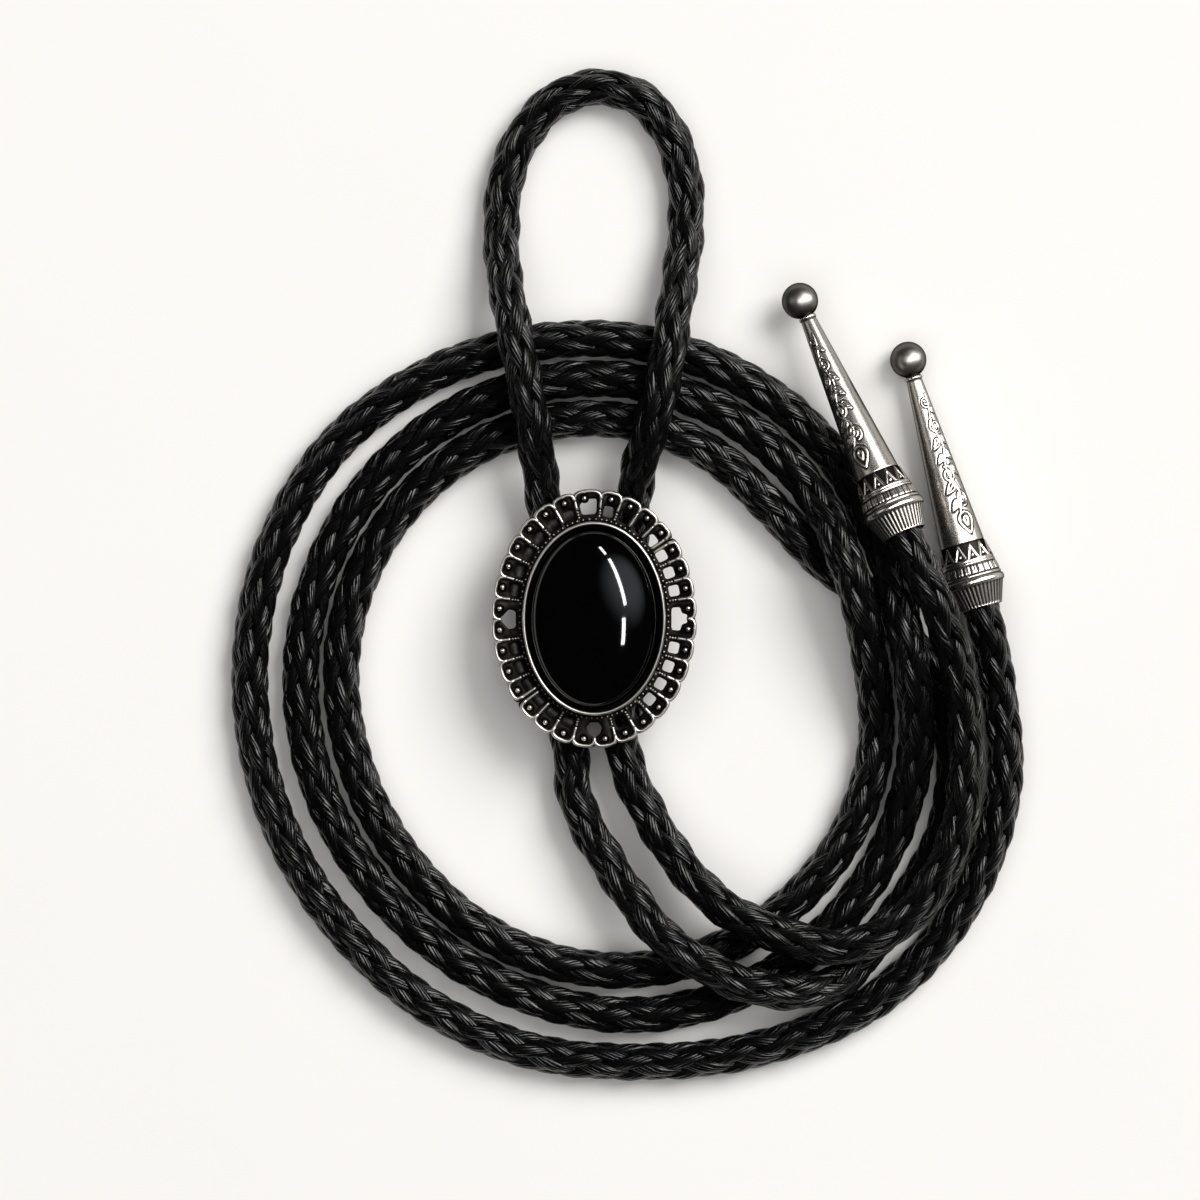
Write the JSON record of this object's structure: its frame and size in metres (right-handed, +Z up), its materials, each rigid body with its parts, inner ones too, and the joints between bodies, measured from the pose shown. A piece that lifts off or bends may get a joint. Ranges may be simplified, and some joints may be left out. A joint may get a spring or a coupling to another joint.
{
  "type": "bolo tie",
  "caption": "Braided cord worn round the neck through an oval slide with a black cabochon, with a cast metal tip on each cord end, lying loosely coiled.",
  "frame": {"origin": "on the flat underside of the slide's clip, below the middle of the slide, on the surface that the tie lies on", "axes": "+Z up, out of the slide's face; +Y towards the neck loop; +X to the side where both tips lie"},
  "size_m": [0.1102, 0.1405, 0.015],
  "materials": {
    "setting_silver": "antiqued silver plate, dark in its recesses",
    "black_stone": "polished opaque black stone",
    "clip_metal": "satin",
    "black_leather": "semi-gloss braided leather",
    "tip_silver": "polished antiqued silver plate"
  },
  "bodies": {
    "root": {"setting": "setting_silver", "stone": "black_stone", "cord_clip": "clip_metal", "cord_neck": "black_leather", "cord_left_tail": "black_leather", "cord_right_tail": "black_leather", "tip_left": "tip_silver", "tip_right": "tip_silver"}
  },
  "joints": []
}
